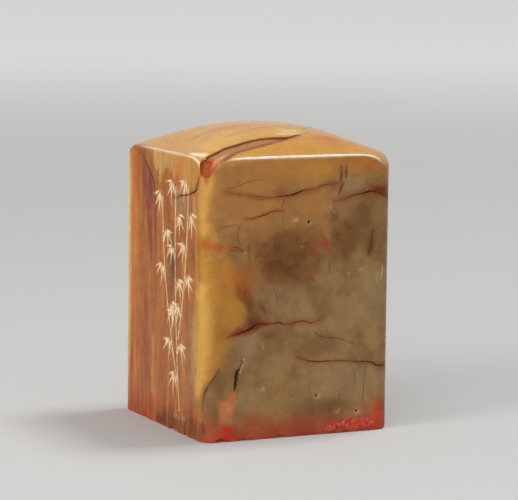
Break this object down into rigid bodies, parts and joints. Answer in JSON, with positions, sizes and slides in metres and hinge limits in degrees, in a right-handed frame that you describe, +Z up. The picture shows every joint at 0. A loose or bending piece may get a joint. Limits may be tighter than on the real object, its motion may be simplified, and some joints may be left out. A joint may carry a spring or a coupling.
{
  "type": "seal stamp",
  "caption": "Square stone seal stamp with a pillow-shaped top, natural veins, a bamboo engraving on one side and a carved fret seal face with vermilion paste.",
  "frame": {"origin": "centre of the square seal face, on the surface that the seal stands on", "axes": "+Z up, from the seal face to the crown; -Y towards the plain wide face of the picture, -X towards the engraved side"},
  "size_m": [0.025, 0.025, 0.0371],
  "materials": {
    "soapstone": "polished, waxy and a little translucent",
    "vein_mineral": "polished with the stone, dark iron red",
    "pale_filling": "matt powder in the cut lines",
    "seal_paste": "waxy vermilion paste"
  },
  "bodies": {
    "root": {"seal_stone": "soapstone", "upper_vein": "vein_mineral", "right_vein": "vein_mineral", "middle_vein": "vein_mineral", "lower_vein": "vein_mineral", "foot_vein": "vein_mineral", "left_vein": "vein_mineral", "corner_vein": "vein_mineral", "main_stalk_fill": "pale_filling", "left_shoot_fill": "pale_filling", "right_shoot_fill": "pale_filling", "seal_paste": "seal_paste", "paste_crust": "seal_paste"}
  },
  "joints": []
}
